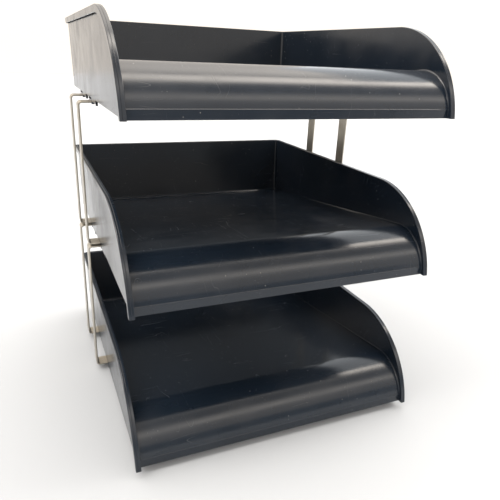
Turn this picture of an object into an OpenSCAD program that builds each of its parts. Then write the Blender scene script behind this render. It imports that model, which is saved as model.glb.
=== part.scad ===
// Three-tier letter tray tower: identical moulded trays carried on bent steel strip risers.
// X is across the tray, Y runs from the open front to the back, Z is up.

/* [Tray] */
// Outside width of a tray at its bottom edge
tray_w = 260; // [230:1:300]
// Outside depth of a tray at its bottom edge, from the front tips of the side walls
tray_d = 313; // [290:1:380]
// Height of the side and back walls
tray_h = 70; // [55:1:90]
// Thickness of the side and back walls
wall = 1.8; // [1.5:0.1:3]
// Thickness of the floor and the front roll
floor_t = 2; // [1.5:0.1:3]
// How far each side wall leans out at its top
side_lean = 1.3; // [0:0.1:4]
// How far the back wall leans out at its top
back_lean = 5.6; // [0:0.1:10]
// Radius of the curve where a side wall drops to the front
side_r = 84; // [75:1:110]

/* [Rim] */
// How far the rim stands out from the wall
rim_out = 2.7; // [2:0.1:5]
// Height of the rim's turned-down skirt
rim_skirt = 5.5; // [3:0.5:10]
// Thickness of the rim's top
rim_top_t = 1.6; // [1:0.1:2.5]
// Thickness of the rim's skirt
rim_skirt_t = 1.2; // [0.8:0.1:2]
// Plan radius of the rim's back corners
rim_corner_r = 6; // [4:0.5:12]

/* [Front roll] */
// Radius of the rolled front, over which the paper is reached
roll_r = 36; // [25:1:40]
// Height of the crest of the rolled front
roll_h = 35; // [25:1:40]
// Distance of the roll's axis behind the front tips
roll_y = 40; // [36:1:50]
// Height of the floor's top surface at the back wall
floor_back_z = 2; // [2:0.5:10]
// Height of the upright band at the foot of the roll
band_h = 7; // [4:0.5:12]
// How far the band stands out in front of the roll, as a narrow ledge
band_step = 0.4; // [0:0.1:1.5]

/* [Tower] */
// Vertical distance from one tray to the next
pitch = 137; // [110:1:160]
// Distance of the front riser's centre behind the front tips
riser_front_y = 174; // [150:1:190]
// Distance of the rear riser's centre behind the front tips
riser_rear_y = 243; // [225:1:260]

/* [Riser] */
// Width of the steel strip
strip_w = 14; // [10:1:20]
// Thickness of the steel strip
strip_t = 1.5; // [1:0.1:2.5]
// Distance of a leg's outer face from the middle of the tray
leg_x = 141; // [140:0.5:150]
// Distance of the inner ends of the arms from the middle of the tray
arm_end_x = 116; // [110:1:120]
// Outside radius of the bends
bend_r = 3.5; // [2.5:0.5:6]

/* [Sockets] */
// Drop of the socket's shelf below the wall, on which the tray sits
shelf_drop = 3.5; // [3.2:0.1:5]
// Drop of the nibs that straddle an arm
nib_drop = 5.8; // [5.5:0.1:6.5]
// Width of the nibs across the tray
nib_w = 4; // [3:0.5:16]
// Drop of the small nib at the front end of a rail
end_nib_drop = 4.6; // [3.6:0.1:6]
// Length of a socket's rail in front of the arm's centre
rail_front = 38; // [20:1:40]
// Play between an arm and its socket, each side
play_y = 0.5; // [0.3:0.1:1]
// Play above and below an arm in its window
play_z = 0.1; // [0.05:0.05:0.3]

/* [Feet] */
// Radius of a rubber foot
foot_r = 6; // [4:0.5:8]
// Height of a rubber foot
foot_h = 6.8; // [6.5:0.1:10]
// Chamfer round the bottom of a foot
foot_chamfer = 0.8; // [0.2:0.1:1.5]
// Distance of the feet from the side walls
foot_inset_x = 17; // [10:1:40]
// Distance of the front feet behind the front tips
foot_front_y = 34; // [30:1:60]
// Distance of the rear feet in front of the back wall
foot_rear_gap = 20; // [12:1:40]

/* [Hidden] */
$fn = 96;

half_w = tray_w / 2;
side_angle = atan(side_lean / tray_h);
back_angle = atan(back_lean / tray_h);
// Centre of the side wall's front curve, which touches the top edge and passes through the front tip
side_cz = tray_h - side_r;
side_cy = sqrt(side_r * side_r - side_cz * side_cz);
// Axis height of the front roll, and the slope of the floor that runs off it to the back wall
roll_z = roll_h - roll_r;
floor_run = tray_d - roll_y;
floor_rise = floor_back_z - roll_z;
floor_angle = asin(roll_r / norm([floor_run, floor_rise])) - atan2(floor_rise, floor_run);
// Outline of the whole tower
depth = tray_d + back_lean + rim_out;
mid_y = depth / 2;
// Bottom face of a riser's lower arm and top face of its upper arm, from the bottom edge of its tray
window_h = strip_t + 2 * play_z;
arm_low_z = -window_h + play_z;
arm_high_z = pitch - shelf_drop;
arm_half_gap = strip_w / 2 + play_y;
web_t = 2;
socket_in = 16;
rail_t = 1.8;
rail_in = 0.6;
weld = 0.5;
over = 20;

// Height of the floor's top surface at a distance y behind the front tips, behind the crest
function floor_z(y) = roll_z + (roll_r - (y - roll_y) * sin(floor_angle)) / cos(floor_angle);

// Runs a Y-Z outline along X
module along_x(x0, x1) {
    translate([x0, 0, 0]) rotate([90, 0, 90]) linear_extrude(x1 - x0) children();
}

// Side wall outline, inset from its top and front edges, with its back edge leaning with the back wall
module side_outline(inset, extra = 0) {
    lean = back_lean + extra;
    intersection() {
        polygon([
            [-over, 0],
            [tray_d + extra, 0],
            [tray_d + lean * (tray_h - inset) / tray_h + extra * inset / tray_h, tray_h - inset],
            [-over, tray_h - inset]
        ]);
        union() {
            translate([side_cy, side_cz]) circle(r = side_r - inset, $fn = 240);
            translate([side_cy, -over]) square([tray_d, tray_h + 2 * over]);
        }
    }
}

// One side wall with its rim, standing on the left
module side_wall() {
    translate([-half_w, 0, 0]) rotate([0, -side_angle, 0]) {
        along_x(0, wall) side_outline(0);
        along_x(-rim_out, weld) difference() {
            side_outline(0, rim_out);
            side_outline(rim_top_t, 2 * rim_out);
        }
        along_x(-rim_out, rim_skirt_t - rim_out) difference() {
            side_outline(0, rim_out);
            side_outline(rim_skirt, 2 * rim_out);
        }
    }
}

// Back wall with its rim
module back_wall() {
    top_half = half_w + side_lean;
    translate([0, tray_d, 0]) rotate([90 - back_angle, 0, 0]) {
        linear_extrude(wall) polygon([[-half_w, 0], [half_w, 0], [top_half, tray_h], [-top_half, tray_h]]);
        translate([-top_half, tray_h - rim_top_t, -rim_out])
            cube([2 * top_half, rim_top_t, rim_out + weld]);
        translate([-top_half, tray_h - rim_skirt, -rim_out])
            cube([2 * top_half, rim_skirt, rim_skirt_t]);
    }
}

// Everything under the roll and the floor, inset by a distance from their top surface
module under_floor(inset) {
    r = roll_r - inset;
    turn_y = roll_y + r * sin(floor_angle);
    turn_z = roll_z + r * cos(floor_angle);
    end_y = tray_d - weld;
    end_z = turn_z - (end_y - turn_y) * tan(floor_angle);
    intersection() {
        translate([roll_y, roll_z]) circle(r = r, $fn = 180);
        translate([0, band_h - weld]) square([turn_y, roll_r]);
    }
    polygon([[turn_y - weld, 0], [end_y, 0], [end_y, end_z], [turn_y, turn_z], [turn_y - weld, turn_z]]);
}

// Inclined floor, rolled front and upright band in one skin
module floor_and_roll() {
    span = half_w - wall / 2;
    band_y = roll_y - sqrt(roll_r * roll_r - (band_h - roll_z) * (band_h - roll_z)) - band_step;
    along_x(-span, span) {
        difference() {
            under_floor(0);
            under_floor(floor_t);
            translate([roll_y, -over]) square([tray_d, over + weld / 2]);
        }
        translate([band_y, 0]) square([floor_t, band_h]);
    }
}

// Socket for one pair of arms under the left wall: a rail with a window, a shelf, webs and nibs
module socket(y) {
    x0 = rail_in - half_w;
    shelf_t = shelf_drop - window_h;
    translate([x0, y, 0]) difference() {
        union() {
            translate([0, -rail_front, -shelf_drop])
                cube([rail_t, rail_front + arm_half_gap + web_t, shelf_drop + weld]);
            translate([0, -arm_half_gap - weld, -shelf_drop])
                cube([socket_in, 2 * (arm_half_gap + weld), shelf_t]);
        }
        translate([-1, -arm_half_gap, -window_h]) cube([socket_in, 2 * arm_half_gap, window_h]);
    }
    for (web_y = [y - arm_half_gap - web_t, y + arm_half_gap]) {
        translate([x0, web_y, -shelf_drop])
            cube([socket_in, web_t, shelf_drop + floor_z(web_y + web_t) - floor_t / 2]);
        translate([x0, web_y, -nib_drop]) cube([nib_w, web_t, nib_drop]);
    }
    translate([x0, y - rail_front, -end_nib_drop]) cube([rail_t, web_t, end_nib_drop]);
}

// Plan positions of the feet
function foot_x() = half_w - foot_inset_x;
function foot_rear_y() = tray_d - foot_rear_gap;

// Boss that carries a foot, up to the underside of the roll or the floor
module boss(x, y) {
    top = y > roll_y ? floor_z(y + foot_r) : roll_z + sqrt(roll_r * roll_r - pow(y - foot_r - roll_y, 2));
    translate([x, y, 0]) cylinder(r = foot_r, h = top - floor_t / 2);
}

// One moulded tray, with its bottom edge at z = 0
module tray() {
    color([0.05, 0.055, 0.065]) intersection() {
        union() {
            side_wall();
            mirror([1, 0, 0]) side_wall();
            back_wall();
            floor_and_roll();
            for (y = [riser_front_y, riser_rear_y]) {
                socket(y);
                mirror([1, 0, 0]) socket(y);
            }
            for (x = [-foot_x(), foot_x()], y = [foot_front_y, foot_rear_y()]) boss(x, y);
        }
        plan_limit();
    }
}

// Upright prism that rounds the rim's two back corners
module plan_limit() {
    x = half_w + side_lean + rim_out;
    translate([0, 0, -over]) linear_extrude(tray_h + 2 * over) {
        translate([-x, -over]) square([2 * x, over + depth - rim_corner_r]);
        translate([rim_corner_r - x, -over]) square([2 * (x - rim_corner_r), over + depth]);
        for (side = [-1, 1])
            translate([side * (x - rim_corner_r), depth - rim_corner_r]) circle(r = rim_corner_r);
    }
}

// Places a tray, or what belongs to it, at its level in the tower
module at_level(level) {
    translate([0, -mid_y, foot_h + level * pitch]) children();
}

// Filled outline of a riser seen from the front, inset from its outer faces
module riser_block(inset) {
    r = bend_r - inset;
    low = arm_low_z + inset;
    high = arm_high_z - inset;
    left = inset - leg_x;
    translate([left, low + r]) square([leg_x, high - low - 2 * r]);
    translate([left + r, low]) square([leg_x, high - low]);
    for (z = [low + r, high - r]) translate([left + r, z]) circle(r = r);
}

// One riser: a strip bent to a C, its leg outside the wall and its arms turned in under two trays
module riser(level, side, y) {
    color([0.66, 0.64, 0.58]) at_level(level) mirror([side > 0 ? 1 : 0, 0, 0])
        translate([0, y + strip_w / 2, 0]) rotate([90, 0, 0]) linear_extrude(strip_w)
            intersection() {
                difference() {
                    riser_block(0);
                    riser_block(strip_t);
                }
                translate([-leg_x - 1, arm_low_z - 1])
                    square([leg_x - arm_end_x + 1, arm_high_z - arm_low_z + 2]);
            }
}

// One rubber foot under the bottom tray
module foot(side, y) {
    color([0.08, 0.08, 0.08]) translate([side * foot_x(), y - mid_y, 0]) rotate_extrude()
        polygon([[0, 0], [foot_r - foot_chamfer, 0], [foot_r, foot_chamfer], [foot_r, foot_h], [0, foot_h]]);
}

at_level(0) tray();  // tray_bottom
at_level(1) tray();  // tray_middle
at_level(2) tray();  // tray_top
riser(0, -1, riser_front_y);  // riser_lower_left_front
riser(0, -1, riser_rear_y);  // riser_lower_left_rear
riser(0, 1, riser_front_y);  // riser_lower_right_front
riser(0, 1, riser_rear_y);  // riser_lower_right_rear
riser(1, -1, riser_front_y);  // riser_upper_left_front
riser(1, -1, riser_rear_y);  // riser_upper_left_rear
riser(1, 1, riser_front_y);  // riser_upper_right_front
riser(1, 1, riser_rear_y);  // riser_upper_right_rear
foot(-1, foot_front_y);  // foot_front_left
foot(1, foot_front_y);  // foot_front_right
foot(-1, foot_rear_y());  // foot_rear_left
foot(1, foot_rear_y());  // foot_rear_right
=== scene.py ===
from math import acos, asin, atan2, cos, hypot, pi, radians, sin, sqrt

import bmesh
import bpy
from mathutils import Matrix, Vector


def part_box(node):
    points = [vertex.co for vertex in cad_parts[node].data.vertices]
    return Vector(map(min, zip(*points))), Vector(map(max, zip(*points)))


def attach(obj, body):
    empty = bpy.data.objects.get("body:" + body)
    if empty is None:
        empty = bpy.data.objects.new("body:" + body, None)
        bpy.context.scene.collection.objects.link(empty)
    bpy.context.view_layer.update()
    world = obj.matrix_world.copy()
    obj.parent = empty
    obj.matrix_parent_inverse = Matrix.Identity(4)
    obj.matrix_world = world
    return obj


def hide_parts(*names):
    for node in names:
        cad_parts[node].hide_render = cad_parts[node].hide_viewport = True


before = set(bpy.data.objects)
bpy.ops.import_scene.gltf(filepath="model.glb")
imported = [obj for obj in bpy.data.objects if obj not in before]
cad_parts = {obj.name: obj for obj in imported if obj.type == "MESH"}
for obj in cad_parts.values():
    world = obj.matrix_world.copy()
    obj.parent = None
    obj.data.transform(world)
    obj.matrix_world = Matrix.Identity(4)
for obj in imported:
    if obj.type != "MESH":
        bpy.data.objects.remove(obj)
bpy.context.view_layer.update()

MM = 0.001

# Sizes in mm, the same as the CAD source's. A tray is drawn with x = 0 at its middle, y = 0 at its
# front tips and z = 0 at its bottom edge.
TRAY_HALF = 130.0
TRAY_DEPTH = 313.0
# The walls' height along their slope, and the height at which a leaning side wall ends
WALL_HEIGHT = 70.0
TRAY_HEIGHT = 69.99
WALL = 1.8
FLOOR = 2.0
# How far the walls lean out in each mm of height
SIDE_LEAN = 1.3 / WALL_HEIGHT
BACK_LEAN = 5.6 / WALL_HEIGHT
# Radius and centre of the curve where a side wall drops to the front
SIDE_R = 84.0
SIDE_CZ = WALL_HEIGHT - SIDE_R
SIDE_CY = sqrt(SIDE_R ** 2 - SIDE_CZ ** 2)
# The rim's width with the wall, and the height of its turned-down skirt
RIM_WIDTH = 4.5
RIM_SKIRT = 5.5
ROLL_R = 36.0
ROLL_Y = 40.0
ROLL_Z = -1.0
BAND_HEIGHT = 7.0
BAND_STEP = 0.4
BAND_Y = ROLL_Y - sqrt(ROLL_R ** 2 - (BAND_HEIGHT - ROLL_Z) ** 2) - BAND_STEP
# The floor's slope, from the crest of the roll down to the back wall
FLOOR_BACK_Z = 2.0
FLOOR_RUN = TRAY_DEPTH - ROLL_Y
FLOOR_RISE = FLOOR_BACK_Z - ROLL_Z
FLOOR_ANGLE = asin(ROLL_R / hypot(FLOOR_RUN, FLOOR_RISE)) - atan2(FLOOR_RISE, FLOOR_RUN)
# Sockets under a tray, measured down from its bottom edge and in from its sides
NIB_DROP = 5.8
NIB_WIDTH = 4.0
END_NIB_DROP = 4.6
SHELF_DROP = 3.5
WINDOW = 1.7
SOCKET_DEPTH = 16.0
RAIL_FRONT = 38.0
RAIL_THICK = 1.8
RAIL_INSET = 0.6
WEB = 2.0
ARM_HALF_GAP = 7.5
# Risers and feet
RISER_Y = (174.0, 243.0)
STRIP_WIDTH = 14.0
STRIP_THICK = 1.5
BEND_R = 3.5
FOOT_R = 6.0
FOOT_X = 113.0
FOOT_Y = (34.0, 293.0)

# Roundings and small details, in mm, that only the visual model has.
# Fillets of a side wall against the back wall, against the floor and the roll, and against the band
CORNER_R = 2.3
SIDE_FILLET = 1.2
SMALL_FILLET = 0.2
# Fillet of the floor against the back wall
FLOOR_FILLET = 2.5
# The rim's inner edge, its outer edge and its skirt's tip, and how far the skirt draws in towards the tip
RIM_ROUND = 0.6
SKIRT_ROUND = 0.8
SKIRT_TIP_R = 0.5
SKIRT_DRAFT = 0.1
# Bevel of the blocks under a tray, and how far they reach into it or into each other
BLOCK_BEVEL = 0.25
BLOCK_OVERLAP = 0.5
# Height above the band's top where the roll starts
ROLL_START = 0.7
# (y, z) from the band's top front edge and the (y, z) normal there: the band's rounded top edge, then the
# small fillet from the ledge up into the roll
BAND_LEDGE = [(0, -0.35, -1, 0), (0.06, -0.12, -0.8, 0.6), (0.2, 0, -0.35, 0.93),
              (0.32, 0.06, -0.4, 0.9), (0.43, 0.2, -0.75, 0.65), (0.5, 0.42, -0.95, 0.3)]
# (distance outward from the wall's inner face, height from the top) of the shallow groove along the rim,
# and of the way up inside the skirt, under the rim and down to the wall
RIM_GROOVE = [(2.1, 0), (2.25, -0.16), (2.4, -0.22), (2.55, -0.16), (2.7, 0)]
RIM_UNDERSIDE = [(3.3, -2.3), (3.15, -1.85), (2.8, -1.6), (2.3, -1.6), (1.95, -1.72), (WALL, -2.1)]
# (distance in from the outer face, height) of the points that round the foot of a wall, downward
WALL_FOOT = [(0, 0.45), (0.12, 0.12), (0.45, 0)]
# The strips' rounded long edges and corners, how much thinner each face gets at an end, and the distances
# from an end at which their sections are drawn
STRIP_EDGE_R = 0.4
STRIP_CORNER_R = 1.6
STRIP_END_BEVEL = 0.15
STRIP_STATIONS = [0, 0.15, 0.5, 1, 1.6, 4]
# Each quarter of a strip's section: its side across the strip, its side through it and its first angle
STRIP_QUARTERS = [(1, 1, 0), (-1, 1, pi / 2), (-1, -1, pi), (1, -1, 3 * pi / 2)]
# (radius, height) of the shallow dish in a foot's resting face
FOOT_DISH = [(0, 0.35), (3.2, 0.35), (3.7, 0.2), (3.95, 0)]
FOOT_ROUND = 0.9
# (distance in from the side, distance from the end) of the points that round a foot's and a boss's end
FOOT_EDGE = [(0.4, 0), (0.1, 0.1), (0, 0.4)]

# Steps in which curves and long faces are drawn
CORNER_STEPS = 8
ACROSS_STEPS = 8
ARC_STEPS = 48
SIDE_STEPS = 8
ROLL_STEPS = 72
# Steps over which the fillet beside the roll grows to its full radius
GROW_STEPS = 8
FLOOR_STEPS = 12
FLOOR_FILLET_STEPS = 8
BACK_STEPS = 6
UNDER_STEPS = 36
RIM_ROUND_STEPS = 4
SKIRT_ROUND_STEPS = 5
SKIRT_TIP_STEPS = 6
BEND_STEPS = 10
LEG_STEPS = 12
STRIP_EDGE_STEPS = 3
FOOT_ROUND_STEPS = 6
TURN_STEPS = 48

# Edges sharper than this stay sharp in the shading
SHARP_ANGLE = radians(35)
# Points closer than MERGE mm become one, and edges shorter than SLIVER mm are removed
MERGE = 0.002
SLIVER = 0.0005


# ---------------------------------------------------------------- mesh helpers

def new_object(name, mesh):
    thing = bpy.data.objects.new(name, mesh)
    bpy.context.scene.collection.objects.link(thing)
    return thing


def add_grid(bm, rows):
    """Faces between rows of points, each row the same length."""
    made = [[bm.verts.new(point) for point in row] for row in rows]
    for upper, lower in zip(made, made[1:]):
        for i in range(len(upper) - 1):
            bm.faces.new((upper[i], upper[i + 1], lower[i + 1], lower[i]))


def add_face(bm, points):
    bm.faces.new([bm.verts.new(point) for point in points])


def add_block(bm, low, high):
    """A box with bevelled edges."""
    centre = [(a + b) / 2 for a, b in zip(low, high)]
    size = [b - a for a, b in zip(low, high)]
    place = Matrix.Translation(centre) @ Matrix.Diagonal((*size, 1))
    made = bmesh.ops.create_cube(bm, size=1, matrix=place)["verts"]
    edges = list({edge for vert in made for edge in vert.link_edges})
    bmesh.ops.bevel(bm, geom=edges, offset=BLOCK_BEVEL, segments=2, profile=0.5, affect="EDGES")


def around(count):
    """Each number below count, with the one that follows it round a ring."""
    return [(i, (i + 1) % count) for i in range(count)]


def add_lathe(bm, profile, centre):
    """A closed turning from (radius, height) pairs that start and end on the axis."""
    x, y = centre
    turns = [2 * pi * i / TURN_STEPS for i in range(TURN_STEPS)]
    rings = []
    for radius, height in profile[1:-1]:
        ring = [(x + radius * cos(turn), y + radius * sin(turn), height) for turn in turns]
        rings.append([bm.verts.new(point) for point in ring])
    for lower, upper in zip(rings, rings[1:]):
        for i, j in around(TURN_STEPS):
            bm.faces.new((lower[i], lower[j], upper[j], upper[i]))
    first = bm.verts.new((x, y, profile[0][1]))
    last = bm.verts.new((x, y, profile[-1][1]))
    for i, j in around(TURN_STEPS):
        bm.faces.new((first, rings[0][j], rings[0][i]))
        bm.faces.new((last, rings[-1][i], rings[-1][j]))


def finish_mesh(bm, name):
    """Smooth shaded mesh in metres from a bmesh in mm, with its sharp edges left sharp."""
    bmesh.ops.recalc_face_normals(bm, faces=bm.faces)
    bmesh.ops.scale(bm, vec=(MM, MM, MM), verts=bm.verts)
    for face in bm.faces:
        face.smooth = True
    for edge in bm.edges:
        edge.smooth = edge.is_manifold and edge.calc_face_angle(0) < SHARP_ANGLE
    mesh = bpy.data.meshes.new(name)
    bm.to_mesh(mesh)
    bm.free()
    return mesh


def keep_faces_flat(thing):
    """Weights a piece's normals by face size, so that flat faces shade flat beside their roundings."""
    modifier = thing.modifiers.new("flat_faces", "WEIGHTED_NORMAL")
    modifier.keep_sharp = True


def spread(start, end, steps):
    """Evenly spaced values from start to end, both included."""
    return [start + (end - start) * i / steps for i in range(steps + 1)]


# ---------------------------------------------------------------- tray

def inner_x(z):
    """Distance of a side wall's inner face from the middle of the tray."""
    return TRAY_HALF + SIDE_LEAN * z - WALL


def inner_back(z):
    """Distance of the back wall's inner face behind the front tips."""
    return TRAY_DEPTH - WALL + BACK_LEAN * z


def floor_z(y):
    """Height of the floor's top surface."""
    return ROLL_Z + (ROLL_R - (y - ROLL_Y) * sin(FLOOR_ANGLE)) / cos(FLOOR_ANGLE)


def top_profile():
    """The upper skin from the foot of the band over the roll and down the floor to the back wall's top.

    Each entry is (y, z, y and z of the outward normal, radius of the fillet against the side walls).
    """
    points = [(BAND_Y, 0, -1, 0, SMALL_FILLET)]
    for y, z, ny, nz in BAND_LEDGE:
        points.append((BAND_Y + y, BAND_HEIGHT + z, ny, nz, SMALL_FILLET))
    start = pi - asin((BAND_HEIGHT + ROLL_START - ROLL_Z) / ROLL_R)
    end = pi / 2 - FLOOR_ANGLE
    for i, angle in enumerate(spread(start, end, ROLL_STEPS)):
        grow = min(1, i / GROW_STEPS)
        y = ROLL_Y + ROLL_R * cos(angle)
        z = ROLL_Z + ROLL_R * sin(angle)
        fillet = SMALL_FILLET + (SIDE_FILLET - SMALL_FILLET) * grow
        points.append((y, z, cos(angle), sin(angle), fillet))
    # Centre of the fillet between the floor and the back wall: a fillet radius off both, where their
    # offset lines meet
    turn_y, turn_z = points[-1][:2]
    down = (sin(FLOOR_ANGLE), cos(FLOOR_ANGLE))
    back_angle = atan2(BACK_LEAN, 1)
    back = (-cos(back_angle), sin(back_angle))
    floor_gap = turn_y * down[0] + turn_z * down[1] + FLOOR_FILLET
    back_gap = inner_back(0) * back[0] + FLOOR_FILLET
    det = down[0] * back[1] - down[1] * back[0]
    centre_y = (floor_gap * back[1] - back_gap * down[1]) / det
    centre_z = (back_gap * down[0] - floor_gap * back[0]) / det
    first = atan2(-down[1], -down[0])
    last = atan2(-back[1], -back[0])
    foot_y = centre_y + FLOOR_FILLET * cos(first)
    foot_z = centre_z + FLOOR_FILLET * sin(first)
    for t in spread(0, 1, FLOOR_STEPS)[1:-1]:
        points.append((turn_y + (foot_y - turn_y) * t, turn_z + (foot_z - turn_z) * t, *down, SIDE_FILLET))
    for angle in spread(first, last, FLOOR_FILLET_STEPS):
        t = (angle - first) / (last - first)
        points.append((centre_y + FLOOR_FILLET * cos(angle), centre_z + FLOOR_FILLET * sin(angle),
                       -cos(angle), -sin(angle), SIDE_FILLET + (CORNER_R - SIDE_FILLET) * t))
    fillet_top = points[-1][1]
    for z in spread(fillet_top, TRAY_HEIGHT - RIM_ROUND, BACK_STEPS)[1:]:
        points.append((inner_back(z), z, -1, 0, CORNER_R))
    return points


def mirrored(rows):
    """The same rows of points on the other side of the tray."""
    return [[(-x, y, z) for x, y, z in row] for row in rows]


def top_skin(bm):
    """The floor, roll, band and back wall in one skin, with fillets up to the side walls.

    Returns the left edge of the skin as (y, z) pairs.
    """
    rows = []
    edge = []
    for y, z, ny, nz, r in top_profile():
        half_row = []
        for t in spread(0, pi / 2, CORNER_STEPS):
            off = r * (1 - sin(t))
            point_z = max(0, z + off * nz)
            half_row.append((-inner_x(point_z) + r * (1 - cos(t)), y + off * ny, point_z))
        edge.append(half_row[0][1:])
        middle = [(x, y, z) for x in spread(half_row[-1][0], -half_row[-1][0], ACROSS_STEPS)[1:-1]]
        rows.append(half_row + middle + mirrored([half_row])[0][::-1])
    add_grid(bm, rows)
    return edge


def rim_section():
    """Outline of the rim as (distance outward from the wall's inner face, height from the top) pairs."""
    points = []
    for angle in spread(pi, pi / 2, RIM_ROUND_STEPS):
        points.append((RIM_ROUND + RIM_ROUND * cos(angle), -RIM_ROUND + RIM_ROUND * sin(angle)))
    points += RIM_GROOVE
    for angle in spread(pi / 2, 0, SKIRT_ROUND_STEPS):
        x = RIM_WIDTH - SKIRT_ROUND + SKIRT_ROUND * cos(angle)
        points.append((x, -SKIRT_ROUND + SKIRT_ROUND * sin(angle)))
    tip_x = RIM_WIDTH - SKIRT_DRAFT - SKIRT_TIP_R
    tip_z = SKIRT_TIP_R - RIM_SKIRT
    for angle in spread(0, -pi, SKIRT_TIP_STEPS):
        points.append((tip_x + SKIRT_TIP_R * cos(angle), tip_z + SKIRT_TIP_R * sin(angle)))
    return points + RIM_UNDERSIDE


def arc_point(step, a, b):
    """Point on the front curve of the left wall, at a section point (a, b)."""
    radius = SIDE_R + b
    first = pi - asin(-SIDE_CZ / radius)
    angle = first + (pi / 2 - first) * step / ARC_STEPS
    z = max(0, SIDE_CZ + radius * sin(angle))
    return (-(inner_x(z) + a), SIDE_CY + radius * cos(angle), z)


def upright_point(station, a, z):
    """Point on the left wall, its corner or the back wall, at distance a outward of the inner face."""
    part, t = station
    corner_x = inner_x(z) - CORNER_R
    corner_y = inner_back(z) - CORNER_R
    if part == "side":
        return (-(inner_x(z) + a), SIDE_CY + (corner_y - SIDE_CY) * t, z)
    if part == "corner":
        angle = t * pi / 2
        return (-(corner_x + (CORNER_R + a) * cos(angle)), corner_y + (CORNER_R + a) * sin(angle), z)
    return (-corner_x + 2 * corner_x * t, inner_back(z) + a, z)


def upright_stations():
    """Where the sections stand, from the end of the front curve to the middle of the back wall."""
    stations = [("side", t) for t in spread(0, 1, SIDE_STEPS)]
    stations += [("corner", t) for t in spread(0, 1, CORNER_STEPS)[1:]]
    stations += [("back", t) for t in spread(0, 0.5, ACROSS_STEPS // 2)[1:]]
    return stations


def rim_and_outer_skin(bm):
    """The rim and the outer face of the walls, left half and its mirror image.

    Returns the rim's inner edge on the left wall as (y, z) pairs, from the tip back.
    """
    section = rim_section()
    rows = []
    for step in range(ARC_STEPS):
        row = [arc_point(step, a, b) for a, b in section]
        x, y, root_z = row[-1]
        for inset, z in WALL_FOOT:
            height = min(z, root_z * z)
            row.append((-(TRAY_HALF + SIDE_LEAN * height - inset * min(1, root_z)), y, height))
        rows.append(row)
    for station in upright_stations():
        row = [upright_point(station, a, TRAY_HEIGHT + b) for a, b in section]
        row += [upright_point(station, WALL - inset, z) for inset, z in WALL_FOOT]
        rows.append(row)
    add_grid(bm, rows)
    add_grid(bm, mirrored(rows))
    side_rows = ARC_STEPS + SIDE_STEPS + 1
    return [row[0][1:] for row in rows[:side_rows]]


def under_profile():
    """The lower skin from the back of the band over the roll and down the floor to the back wall."""
    band_y = BAND_Y + FLOOR
    radius = ROLL_R - FLOOR
    start = pi - acos((ROLL_Y - band_y) / radius)
    points = [(band_y, 0)]
    for angle in spread(start, pi / 2 - FLOOR_ANGLE, UNDER_STEPS):
        points.append((ROLL_Y + radius * cos(angle), ROLL_Z + radius * sin(angle)))
    points.append((inner_back(0), 0))
    return points


def shell(bm):
    """The tray's walls, floor, roll and rim as one closed skin."""
    floor_edge = top_skin(bm)
    rim_edge = rim_and_outer_skin(bm)
    wall_face = [(-inner_x(z), y, z) for y, z in floor_edge[:-1] + rim_edge[::-1]]
    add_face(bm, wall_face)
    add_face(bm, mirrored([wall_face])[0])
    under = under_profile()
    add_grid(bm, [[(x * inner_x(z), y, z) for x in (-1, -0.5, 0, 0.5, 1)] for y, z in under])
    lower_face = [(-inner_x(z), y, z) for y, z in under[1:] + under[:1]]
    add_face(bm, lower_face)
    add_face(bm, mirrored([lower_face])[0])
    bmesh.ops.remove_doubles(bm, verts=bm.verts, dist=MERGE)
    bmesh.ops.dissolve_degenerate(bm, dist=SLIVER, edges=bm.edges)
    # What is still open is the flat foot of the walls and the band, at z = 0
    foot_edges = [edge for edge in bm.edges if edge.is_boundary]
    bmesh.ops.triangle_fill(bm, use_beauty=True, use_dissolve=False, edges=foot_edges)


def add_inset_block(bm, side, insets, ys, zs):
    """A block between two distances in from one side of the tray, two from the front and two heights."""
    x0, x1 = sorted(side * (TRAY_HALF - inset) for inset in insets)
    add_block(bm, (x0, ys[0], zs[0]), (x1, ys[1], zs[1]))


def add_socket(bm, side, y):
    """The rail, shelf, webs and nibs round one riser's arm."""
    front_edge = y - ARM_HALF_GAP
    rear_edge = y + ARM_HALF_GAP
    rail_front = y - RAIL_FRONT
    rail = (RAIL_INSET, RAIL_INSET + RAIL_THICK)
    socket = (RAIL_INSET, RAIL_INSET + SOCKET_DEPTH)
    nib = (RAIL_INSET, RAIL_INSET + NIB_WIDTH)
    add_inset_block(bm, side, rail, (rail_front, front_edge), (-SHELF_DROP, BLOCK_OVERLAP))
    add_inset_block(bm, side, rail, (rear_edge, rear_edge + WEB), (-SHELF_DROP, BLOCK_OVERLAP))
    add_inset_block(bm, side, socket, (front_edge - BLOCK_OVERLAP, rear_edge + BLOCK_OVERLAP),
                    (-SHELF_DROP, -WINDOW))
    for web in (front_edge - WEB, rear_edge):
        web_ys = (web, web + WEB)
        add_inset_block(bm, side, socket, web_ys, (-SHELF_DROP, floor_z(web + WEB) - FLOOR / 2))
        add_inset_block(bm, side, nib, web_ys, (-NIB_DROP, 0))
    add_inset_block(bm, side, rail, (rail_front, rail_front + WEB), (-END_NIB_DROP, 0))


def add_boss(bm, side, y):
    """A round boss above a foot, up into the floor or the roll."""
    if y > ROLL_Y:
        skin_z = floor_z(y + FOOT_R)
    else:
        skin_z = ROLL_Z + sqrt(ROLL_R ** 2 - (y - FOOT_R - ROLL_Y) ** 2)
    top = skin_z - FLOOR / 2
    end = [(FOOT_R - inset, height) for inset, height in FOOT_EDGE]
    add_lathe(bm, [(0, 0), *end, (FOOT_R, top), (0, top)], (side * FOOT_X, y))


def under_parts(bm):
    """Sockets for the risers' arms, and bosses for feet, under the tray."""
    for side in (-1, 1):
        for y in RISER_Y:
            add_socket(bm, side, y)
        for y in FOOT_Y:
            add_boss(bm, side, y)


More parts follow.
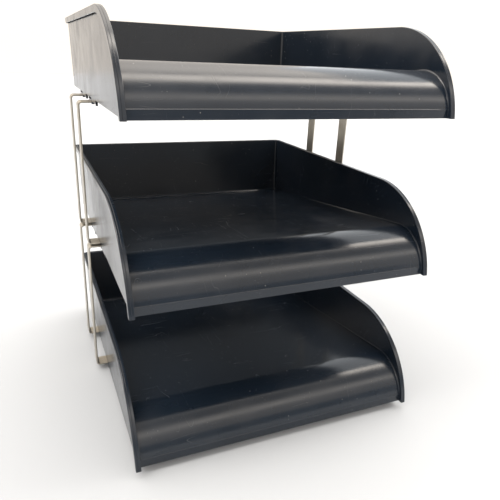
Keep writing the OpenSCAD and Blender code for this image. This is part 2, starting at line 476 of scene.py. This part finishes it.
def strip_path(end, leg, bottom, top):
    """Middle line of a strip as (x, z, angle it has turned), from its lower arm's end to its upper arm's."""
    bend = BEND_R - STRIP_THICK / 2
    path = [(end + along, bottom, 0) for along in STRIP_STATIONS]
    path.append((leg - bend, bottom, 0))
    for angle in spread(0, pi / 2, BEND_STEPS)[1:]:
        path.append((leg - bend + bend * sin(angle), bottom + bend - bend * cos(angle), angle))
    for z in spread(bottom + bend, top - bend, LEG_STEPS)[1:]:
        path.append((leg, z, pi / 2))
    for angle in spread(0, pi / 2, BEND_STEPS)[1:]:
        path.append((leg - bend + bend * cos(angle), top - bend + bend * sin(angle), pi / 2 + angle))
    path += [(end + along, top, pi) for along in reversed(STRIP_STATIONS)]
    return path


def strip_section(gap):
    """Outline of a strip as (across it, through it) pairs, at a distance from its end.

    The distance counts up to the radius of the strip's rounded corners.
    """
    half_width = STRIP_WIDTH / 2 - STRIP_CORNER_R + sqrt(STRIP_CORNER_R ** 2 - (STRIP_CORNER_R - gap) ** 2)
    half_thick = STRIP_THICK / 2
    if gap == 0:
        half_thick -= STRIP_END_BEVEL
    points = []
    for side_w, side_n, begin in STRIP_QUARTERS:
        centre_w = side_w * (half_width - STRIP_EDGE_R)
        centre_n = side_n * (half_thick - STRIP_EDGE_R)
        for angle in spread(begin, begin + pi / 2, STRIP_EDGE_STEPS):
            points.append((centre_w + STRIP_EDGE_R * cos(angle), centre_n + STRIP_EDGE_R * sin(angle)))
    return points


def make_riser(node, body):
    """A strip bent to a C with rounded edges and ends: its path runs from one arm's end to the other's."""
    low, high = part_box(node)
    outward = 1 if low.x + high.x > 0 else -1
    middle_y = (low.y + high.y) / 2 / MM
    half = STRIP_THICK / 2
    leg = max(abs(low.x), abs(high.x)) / MM - half
    end = min(abs(low.x), abs(high.x)) / MM
    bm = bmesh.new()
    loops = []
    for x, z, turn in strip_path(end, leg, low.z / MM + half, high.z / MM - half):
        on_an_arm = turn in (0, pi)
        gap = min(STRIP_CORNER_R, abs(x - end)) if on_an_arm else STRIP_CORNER_R
        loop = []
        for w, n in strip_section(gap):
            point = (outward * (x + n * sin(turn)), middle_y + w, z - n * cos(turn))
            loop.append(bm.verts.new(point))
        loops.append(loop)
    for near, far in zip(loops, loops[1:]):
        for i, j in around(len(near)):
            bm.faces.new((near[i], near[j], far[j], far[i]))
    bm.faces.new(loops[0])
    bm.faces.new(loops[-1])
    strip = new_object(node + "_strip", finish_mesh(bm, node))
    strip.data.materials.append(riser_steel)
    keep_faces_flat(strip)
    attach(strip, body)
    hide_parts(node)


def make_foot(node, body):
    """A turned rubber foot with a rounded rim and a shallow dish in its resting face."""
    low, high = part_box(node)
    centre = ((low.x + high.x) / 2 / MM, (low.y + high.y) / 2 / MM)
    top = high.z / MM
    profile = list(FOOT_DISH)
    for angle in spread(-pi / 2, 0, FOOT_ROUND_STEPS):
        profile.append((FOOT_R - FOOT_ROUND + FOOT_ROUND * cos(angle), FOOT_ROUND + FOOT_ROUND * sin(angle)))
    profile += [(FOOT_R - inset, top - depth) for inset, depth in reversed(FOOT_EDGE)]
    profile.append((0, top))
    bm = bmesh.new()
    add_lathe(bm, profile, centre)
    foot = new_object(node + "_pad", finish_mesh(bm, node))
    foot.data.materials.append(foot_rubber)
    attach(foot, body)
    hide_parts(node)


def make_tray(level_name, body):
    """A tray with its sockets and bosses, put at its level. Its nibs are the lowest part of its box."""
    node = "tray_" + level_name
    low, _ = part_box(node)
    bm = bmesh.new()
    shell(bm)
    under_parts(bm)
    bmesh.ops.translate(bm, vec=(0, low.y / MM, low.z / MM + NIB_DROP), verts=bm.verts)
    tray = new_object(node + "_moulding", finish_mesh(bm, node))
    tray.data.materials.append(tray_plastic)
    keep_faces_flat(tray)
    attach(tray, body)
    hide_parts(node)


# ---------------------------------------------------------------- stage, camera and light

def make_camera():
    """A camera at the photograph's place: low, in front of the tower and to its left.

    Its place, turn, lens and shift were fitted to the tower's edges in the photograph.
    """
    data = bpy.data.cameras.new("camera")
    camera = new_object("camera", data)
    place = (-0.18657, -0.48827, 0.32308)
    yaw, pitch, roll = -0.4180, -0.3628, -0.0456
    turn = (Matrix.Rotation(yaw, 4, "Z") @ Matrix.Rotation(pitch, 4, "X")
            @ Matrix.Rotation(roll, 4, "Y") @ Matrix.Rotation(pi / 2, 4, "X"))
    camera.matrix_world = Matrix.Translation(place) @ turn
    data.sensor_width = 36.0
    data.lens = 37.273
    data.shift_x = -0.003
    data.shift_y = 0.0004
    data.clip_start = 0.01
    data.clip_end = 50
    bpy.context.scene.camera = camera


def make_floor():
    """A wide, matt, pale floor under the feet."""
    mesh = bpy.data.meshes.new("floor")
    half = 6.0
    corners = [(-half, -half, 0), (half, -half, 0), (half, half, 0), (-half, half, 0)]
    mesh.from_pydata(corners, [], [(0, 1, 2, 3)])
    floor = new_object("floor", mesh)
    material = bpy.data.materials.new("floor_white")
    material.use_nodes = True
    shader = material.node_tree.nodes["Principled BSDF"]
    shader.inputs["Base Color"].default_value = (0.42, 0.45, 0.49, 1)
    shader.inputs["Roughness"].default_value = 0.9
    shader.inputs["Specular IOR Level"].default_value = 0.1
    mesh.materials.append(material)


def make_world():
    """A bright tent round the tower.

    It is banded from behind the tower over the top to the front, with plain white sides.
    """
    world = bpy.data.worlds.new("studio")
    world.use_nodes = True
    nodes = world.node_tree.nodes
    links = world.node_tree.links

    def calc(operation, first, second=None):
        """The result of an operation on one or two values or outputs."""
        node = nodes.new("ShaderNodeMath")
        node.operation = operation
        for socket, value in zip(node.inputs, (first, second)):
            if isinstance(value, bpy.types.NodeSocket):
                links.new(value, socket)
            elif value is not None:
                socket.default_value = value
        return node.outputs[0]

    place = nodes.new("ShaderNodeTexCoord")
    split = nodes.new("ShaderNodeSeparateXYZ")
    links.new(place.outputs["Generated"], split.inputs[0])
    # 0 at the horizon behind the tower, 0.5 overhead and 1 at the horizon in front of it
    half_turns = calc("DIVIDE", calc("ABSOLUTE", calc("ARCTAN2", split.outputs["Z"], split.outputs["Y"])), pi)
    bands = nodes.new("ShaderNodeFloatCurve")
    links.new(half_turns, bands.inputs["Value"])
    curve = bands.mapping.curves[0]
    # The curve holds values from 0 to 1, so strengths are divided by this, and its result multiplied by it
    full = 12.0
    stops = [(0, 1.2), (0.14, 1.3), (0.23, 2.2), (0.34, 4.2), (0.4, 4.0), (0.425, 2.6), (0.45, 8.0),
             (0.505, 11.0), (0.525, 7.0), (0.56, 1.5), (0.59, 0.8), (0.67, 0.7), (0.7, 1.7), (0.75, 3.6),
             (0.79, 1.5), (0.86, 1.15), (1, 1.2)]
    for where, level in stops[1:-1]:
        curve.points.new(where, level / full)
    curve.points[0].location = (0, stops[0][1] / full)
    curve.points[-1].location = (1, stops[-1][1] / full)
    for point in curve.points:
        point.handle_type = "VECTOR"
    bands.mapping.update()
    # The sides take over from the bands between these two sideways parts of the direction
    bands_end, side_begin = 0.68, 0.84
    side_level = 1.3
    side = nodes.new("ShaderNodeMapRange")
    links.new(calc("ABSOLUTE", split.outputs["X"]), side.inputs["Value"])
    side.inputs["From Min"].default_value = bands_end
    side.inputs["From Max"].default_value = side_begin
    strength = nodes.new("ShaderNodeMix")
    links.new(side.outputs["Result"], strength.inputs["Factor"])
    links.new(calc("MULTIPLY", bands.outputs[0], full), strength.inputs["A"])
    strength.inputs["B"].default_value = side_level
    back = nodes["Background"]
    back.inputs["Color"].default_value = (1, 0.92, 0.83, 1)
    links.new(strength.outputs["Result"], back.inputs["Strength"])
    bpy.context.scene.world = world


def make_card(name, corners, strength):
    """A glowing card that only reflections see."""
    mesh = bpy.data.meshes.new(name)
    mesh.from_pydata(corners, [], [(0, 1, 2, 3)])
    card = new_object(name, mesh)
    material = bpy.data.materials.new(name)
    material.use_nodes = True
    nodes = material.node_tree.nodes
    nodes.remove(nodes["Principled BSDF"])
    glow = nodes.new("ShaderNodeEmission")
    glow.inputs["Color"].default_value = (0.95, 0.98, 1, 1)
    glow.inputs["Strength"].default_value = strength
    material.node_tree.links.new(glow.outputs[0], nodes["Material Output"].inputs["Surface"])
    mesh.materials.append(material)
    card.visible_camera = False
    card.visible_diffuse = False
    card.visible_shadow = False
    card.visible_transmission = False


# ---------------------------------------------------------------- materials

# Places of a colour Mix node's sockets, whose names its float and vector sockets share
MIX_COLOR_A = 6
MIX_COLOR_B = 7
MIX_COLOR_RESULT = 2


class Shader:
    """A material whose nodes are added one by one."""

    def __init__(self, name, metal=0.0):
        self.material = bpy.data.materials.new(name)
        self.material.use_nodes = True
        self.tree = self.material.node_tree
        self.surface = self.tree.nodes["Principled BSDF"]
        self.surface.inputs["Metallic"].default_value = metal
        self.place = self.add("ShaderNodeTexCoord").outputs["Object"]

    def feed(self, socket, value):
        """Links an output to an input, or sets the input to a value."""
        if isinstance(value, bpy.types.NodeSocket):
            self.tree.links.new(value, socket)
        else:
            socket.default_value = value

    def add(self, kind, **settings):
        """A new node of a kind, with its settings made."""
        node = self.tree.nodes.new(kind)
        for key, value in settings.items():
            setattr(node, key, value)
        return node

    def noise(self, scale, stretch=(1, 1, 1), detail=3.0, shift=(0, 0, 0)):
        """Noise with features of 1 / scale metres, closer together along an axis with a large stretch."""
        mapping = self.add("ShaderNodeMapping")
        self.feed(mapping.inputs["Vector"], self.place)
        self.feed(mapping.inputs["Scale"], stretch)
        self.feed(mapping.inputs["Location"], shift)
        node = self.add("ShaderNodeTexNoise")
        self.feed(node.inputs["Vector"], mapping.outputs[0])
        self.feed(node.inputs["Scale"], scale)
        self.feed(node.inputs["Detail"], detail)
        return node.outputs["Fac"]

    def spots(self, scale):
        """Distance to the nearest of scattered points, in their spacing."""
        node = self.add("ShaderNodeTexVoronoi")
        self.feed(node.inputs["Vector"], self.place)
        self.feed(node.inputs["Scale"], scale)
        return node.outputs["Distance"]

    def remap(self, value, low, high, to_low=0.0, to_high=1.0):
        """The value's place between low and high, taken to the other range and held inside it."""
        node = self.add("ShaderNodeMapRange")
        self.feed(node.inputs["Value"], value)
        self.feed(node.inputs["From Min"], low)
        self.feed(node.inputs["From Max"], high)
        self.feed(node.inputs["To Min"], to_low)
        self.feed(node.inputs["To Max"], to_high)
        return node.outputs["Result"]

    def calc(self, operation, first, second=0.0):
        """The result of an operation on one or two values or outputs."""
        node = self.add("ShaderNodeMath", operation=operation)
        self.feed(node.inputs[0], first)
        self.feed(node.inputs[1], second)
        return node.outputs[0]

    def blend(self, factor, first, second):
        """The first colour at a factor of 0, the second at 1."""
        node = self.add("ShaderNodeMix", data_type="RGBA")
        self.feed(node.inputs["Factor"], factor)
        self.feed(node.inputs[MIX_COLOR_A], first)
        self.feed(node.inputs[MIX_COLOR_B], second)
        return node.outputs[MIX_COLOR_RESULT]

    def hairlines(self, scale, stretch, width, shift, share):
        """Fine wandering lines, kept in a share of the surface."""
        ridge = self.calc("ABSOLUTE", self.calc("SUBTRACT", self.noise(scale, stretch, 1.0, shift), 0.5))
        line = self.remap(ridge, 0.0, width, 1.0, 0.0)
        patch = self.remap(self.noise(31, shift=shift), 0.66 - share, 0.72 - share)
        return self.calc("MULTIPLY", line, patch)

    def bump(self, height, depth, under=None):
        """A bump whose height of one stands for a depth in metres, on top of another bump."""
        node = self.add("ShaderNodeBump")
        self.feed(node.inputs["Height"], height)
        self.feed(node.inputs["Distance"], depth)
        self.feed(node.inputs["Strength"], 1.0)
        if under is not None:
            self.feed(node.inputs["Normal"], under)
        return node.outputs["Normal"]

    def finish(self, color, rough, normal):
        """Feeds the surface and returns the material."""
        self.feed(self.surface.inputs["Base Color"], color)
        self.feed(self.surface.inputs["Roughness"], rough)
        self.feed(self.surface.inputs["Normal"], normal)
        return self.material


def make_plastic():
    """Navy black polystyrene: glossy, a little wavy, with dust, dulled patches and hairline scratches."""
    shader = Shader("tray_plastic")
    tone = shader.remap(shader.noise(14, detail=5.0), 0.3, 0.7)
    color = shader.blend(tone, (0.0064, 0.0112, 0.0192, 1), (0.0096, 0.0155, 0.0255, 1))
    dull = shader.remap(shader.noise(23, detail=6.0, shift=(3, 1, 7)), 0.48, 0.72)
    color = shader.blend(shader.calc("MULTIPLY", dull, 0.3), color, (0.02, 0.0245, 0.033, 1))
    across = shader.hairlines(19, (0.35, 4, 4), 0.0022, (5, 2, 1), 0.1)
    along = shader.hairlines(17, (4, 0.4, 1.5), 0.0018, (1, 8, 4), 0.08)
    scratch = shader.calc("MAXIMUM", across, along)
    dust_patch = shader.remap(shader.noise(27, detail=2.0, shift=(9, 4, 2)), 0.52, 0.6)
    dust = shader.calc("MULTIPLY", shader.remap(shader.spots(170), 0.035, 0.075, 1.0, 0.0), dust_patch)
    fine_dust = shader.calc("MULTIPLY", shader.remap(shader.spots(420), 0.05, 0.09, 1.0, 0.0),
                            shader.remap(shader.noise(45, detail=2.0, shift=(2, 6, 5)), 0.55, 0.66))
    grime = shader.calc("MAXIMUM", dust, shader.calc("MULTIPLY", fine_dust, 0.6))
    color = shader.blend(shader.calc("MULTIPLY", scratch, 0.5), color, (0.09, 0.092, 0.095, 1))
    color = shader.blend(shader.calc("MULTIPLY", grime, 0.8), color, (0.32, 0.31, 0.29, 1))
    rough = shader.remap(shader.noise(60, detail=6.0), 0.3, 0.7, 0.15, 0.21)
    rough = shader.calc("ADD", rough, shader.calc("MULTIPLY", dull, 0.07))
    rough = shader.calc("ADD", rough, shader.calc("MULTIPLY", scratch, 0.2))
    rough = shader.calc("ADD", rough, shader.calc("MULTIPLY", grime, 0.5))
    wave = shader.bump(shader.noise(24, detail=1.0), depth=0.12 * MM)
    peel = shader.bump(shader.noise(650, detail=2.0), depth=0.004 * MM, under=wave)
    cut = shader.bump(scratch, depth=-0.01 * MM, under=peel)
    return shader.finish(color, rough, shader.bump(grime, depth=0.04 * MM, under=cut))


def make_steel():
    """Satin strip steel, brushed along its length, with warmer tarnish in patches."""
    shader = Shader("riser_steel", metal=1.0)
    brush = shader.noise(9, (1, 240, 1), detail=4.0)
    fine_brush = shader.noise(22, (1, 160, 1), detail=2.0, shift=(4, 4, 4))
    tarnish = shader.remap(shader.noise(70, detail=5.0, shift=(1, 5, 3)), 0.45, 0.7)
    color = shader.blend(shader.remap(brush, 0.3, 0.7), (0.38, 0.352, 0.3, 1), (0.49, 0.46, 0.4, 1))
    color = shader.blend(shader.calc("MULTIPLY", tarnish, 0.4), color, (0.3, 0.255, 0.19, 1))
    nicks = shader.hairlines(120, (1, 5, 1), 0.006, (6, 3, 8), 0.1)
    rough = shader.remap(fine_brush, 0.3, 0.7, 0.28, 0.4)
    rough = shader.calc("ADD", rough, shader.calc("MULTIPLY", tarnish, 0.12))
    grain = shader.bump(fine_brush, depth=0.006 * MM)
    grain = shader.bump(brush, depth=0.008 * MM, under=grain)
    return shader.finish(color, rough, shader.bump(nicks, depth=-0.01 * MM, under=grain))


def make_rubber():
    """Matt black rubber with a fine grain and dusty, scuffed patches."""
    shader = Shader("foot_rubber")
    dusty = shader.remap(shader.noise(260, detail=5.0), 0.45, 0.7)
    color = shader.blend(dusty, (0.022, 0.022, 0.022, 1), (0.06, 0.058, 0.054, 1))
    rough = shader.remap(shader.noise(180, detail=4.0, shift=(2, 2, 2)), 0.3, 0.7, 0.6, 0.8)
    grain = shader.noise(2600, detail=3.0)
    return shader.finish(color, rough, shader.bump(grain, depth=0.02 * MM))


bpy.context.scene.view_settings.view_transform = "Standard"
make_camera()
make_floor()
make_world()
# Dim and low behind the tower
make_card("back_card", [(-0.12, 0.45, 0), (1.2, 0.45, 0), (1.2, 0.45, 0.4), (-0.12, 0.45, 0.4)],
          strength=0.15)
# Dim and low in front, for the faces that look forward
make_card("front_card", [(-1.2, -1.5, 0), (1.2, -1.5, 0), (1.2, -1.5, 0.45), (-1.2, -1.5, 0.45)],
          strength=0.45)
# On the right, dimmer than the bright bands that it hides from the crests of the trays
make_card("right_card", [(0.42, -0.1, 0.25), (0.42, 0.6, 0.25), (0.42, 0.6, 0.88), (0.42, -0.1, 0.88)],
          strength=2.0)
tray_plastic = make_plastic()
riser_steel = make_steel()
foot_rubber = make_rubber()
make_tray("bottom", "base")
make_tray("middle", "middle")
make_tray("top", "top")
for level in ("lower", "upper"):
    for side in ("left", "right"):
        for end in ("front", "rear"):
            place = "_".join((level, side, end))
            make_riser("riser_" + place, place)
for end in ("front", "rear"):
    for side in ("left", "right"):
        make_foot("foot_" + end + "_" + side, "base")
